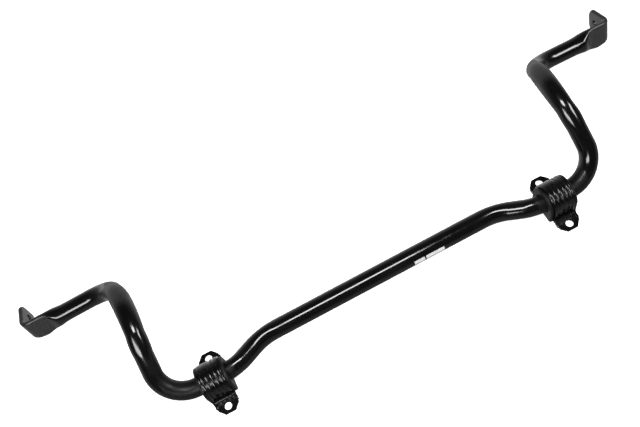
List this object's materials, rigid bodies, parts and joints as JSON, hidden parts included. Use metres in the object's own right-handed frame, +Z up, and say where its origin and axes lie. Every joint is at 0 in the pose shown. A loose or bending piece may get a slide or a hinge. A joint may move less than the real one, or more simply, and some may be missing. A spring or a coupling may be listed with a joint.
{
  "type": "sway bar",
  "caption": "Bent tubular steel anti-roll bar with flattened, folded and pierced end pads, carried in split rubber bushes held by two-eared clamp brackets.",
  "frame": {"origin": "on the floor, under the middle of the overall box, with the part lying on its two base plates and its end pads", "axes": "+X along the bar to its right-hand end, +Y from the bushing axis towards the end pads, +Z up from the mounting plane"},
  "size_m": [1.1108, 0.323, 0.1282],
  "materials": {
    "bar_paint": "gloss black coat over a steel tube, slightly uneven",
    "bracket_steel": "semi-gloss black coat over pressed sheet steel",
    "bush_rubber": "matte moulded rubber with a slight sheen",
    "sticker_paper": "white label stock with a blank grey print band"
  },
  "bodies": {
    "bar": {"stabilizer_bar": "bar_paint", "sticker_short": "sticker_paper", "sticker_long": "sticker_paper"},
    "left_bracket": {"left_saddle": "bracket_steel", "left_base_plate": "bracket_steel", "left_bush_upper": "bush_rubber", "left_bush_lower": "bush_rubber"},
    "right_bracket": {"right_saddle": "bracket_steel", "right_base_plate": "bracket_steel", "right_bush_upper": "bush_rubber", "right_bush_lower": "bush_rubber"}
  },
  "joints": [
    {"name": "left_bush_turn", "type": "hinge", "parent": "bar", "child": "left_bracket", "pos_m": [-0.301, -0.10901, 0.0265], "axis": [1, 0, 0], "range_deg": [-25, 25]},
    {"name": "right_bush_turn", "type": "hinge", "parent": "bar", "child": "right_bracket", "pos_m": [0.301, -0.10901, 0.0265], "axis": [1, 0, 0], "range_deg": [-25, 25]}
  ]
}
